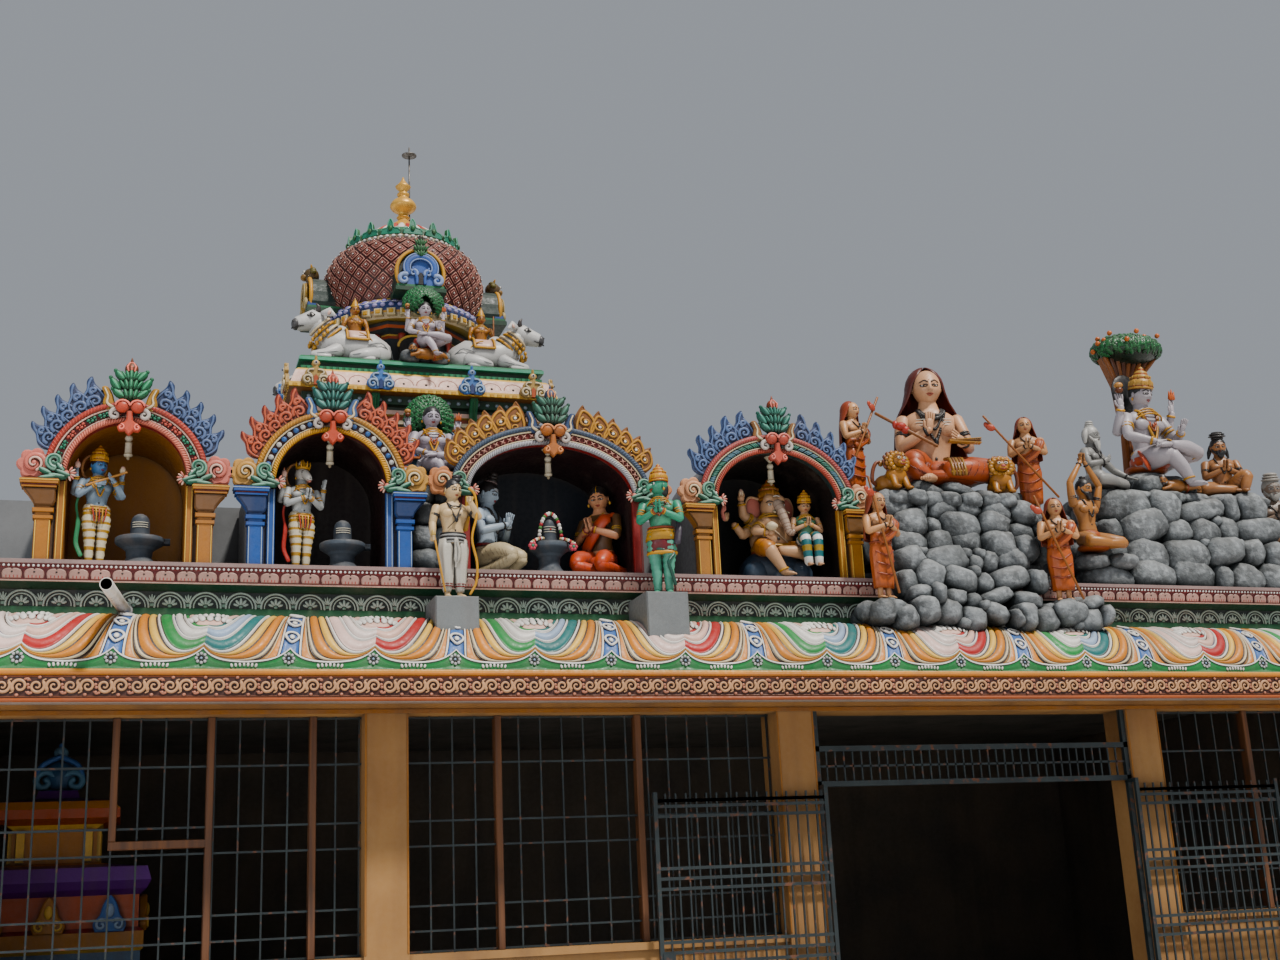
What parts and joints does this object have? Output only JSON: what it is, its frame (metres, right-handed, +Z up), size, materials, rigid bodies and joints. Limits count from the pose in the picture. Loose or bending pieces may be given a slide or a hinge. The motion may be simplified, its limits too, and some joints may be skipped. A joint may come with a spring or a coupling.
{
  "type": "temple front with gopuram tower",
  "caption": "Temple hall front with a painted curved eave, arched figure niches, rock groups of plaster figures, a square domed tower with gilt finial, and a hinged steel gate",
  "frame": {"origin": "ground level, on the centre line of the second column from the left, which stands under the tower, at the front face of the columns", "axes": "+X right along the street front, +Y into the building, +Z up; the front faces -Y"},
  "size_m": [12.5, 6.9547, 8.503],
  "materials": {
    "plaster_cream": "lime plaster in warm cream paint, streaked and dusty",
    "plaster_ochre": "ochre-orange wall paint, matt",
    "stone_grey": "grey cement and dark stone paint, weathered",
    "steel_paint": "dark blue-green gloss paint on square steel bars",
    "painted_ornament": "hand-painted cement ornament in many colours, matt enamel",
    "painted_figure": "hand-painted cement figure in satin enamel",
    "painted_rock": "cement boulders in mottled grey paint",
    "pipe_white": "white plastic rain pipe, dusty",
    "gilt_metal": "gold-coloured metal, worn satin",
    "rod_metal": "weathered bare metal rod"
  },
  "bodies": {
    "building": {"plinth": "stone_grey", "column_1": "plaster_cream", "column_2": "plaster_cream", "column_3": "plaster_cream", "column_4": "plaster_cream", "column_5": "plaster_cream", "left_wall": "plaster_cream", "right_wall": "plaster_cream", "back_wall": "plaster_cream", "front_beam": "plaster_ochre", "roof_slab": "stone_grey", "dado_wall_1": "plaster_cream", "dado_wall_2": "plaster_cream", "dado_wall_4": "plaster_cream", "window_grille_1": "steel_paint", "window_grille_2": "steel_paint", "window_grille_4": "steel_paint", "gate_frame": "steel_paint", "eave": "painted_ornament", "parapet": "painted_ornament", "parapet_back_wall": "stone_grey", "rain_spout": "pipe_white", "niche_1": "painted_ornament", "niche_2": "painted_ornament", "niche_3": "painted_ornament", "niche_4": "painted_ornament", "flute_player": "painted_figure", "horse_faced_musician": "painted_figure", "kneeling_sage": "painted_figure", "kneeling_lady": "painted_figure", "lingam_1": "stone_grey", "lingam_2": "stone_grey", "lingam_3": "stone_grey", "elephant_headed_god": "painted_figure", "archer_statue": "painted_figure", "parrot_faced_statue": "painted_figure", "lower_teacher": "painted_figure", "rock_mound_left": "painted_rock", "seated_saint": "painted_figure", "disciple_1": "painted_figure", "disciple_2": "painted_figure", "disciple_3": "painted_figure", "disciple_4": "painted_figure", "rock_mound_right": "painted_rock", "teacher_under_tree": "painted_figure", "arms_raised_sage": "painted_figure", "praying_sage": "painted_figure", "tower_storey": "painted_ornament", "tower_platform": "painted_ornament", "bull_left": "painted_figure", "bull_right": "painted_figure", "upper_teacher": "painted_figure", "dome_neck": "painted_ornament", "dome": "painted_ornament", "finial": "gilt_metal", "lightning_rod": "rod_metal", "inner_shrine": "painted_ornament"},
    "left_leaf": {"gate_leaf_left": "steel_paint"},
    "right_leaf": {"gate_leaf_right": "steel_paint"}
  },
  "joints": [
    {"name": "gate_left", "type": "hinge", "parent": "building", "child": "left_leaf", "pos_m": [3.225, -0.06, 0.2], "axis": [0, 0, 1], "range_deg": [0, 180]},
    {"name": "gate_right", "type": "hinge", "parent": "building", "child": "right_leaf", "pos_m": [5.925, -0.06, 0.2], "axis": [0, 0, 1], "range_deg": [-180, 0]}
  ]
}
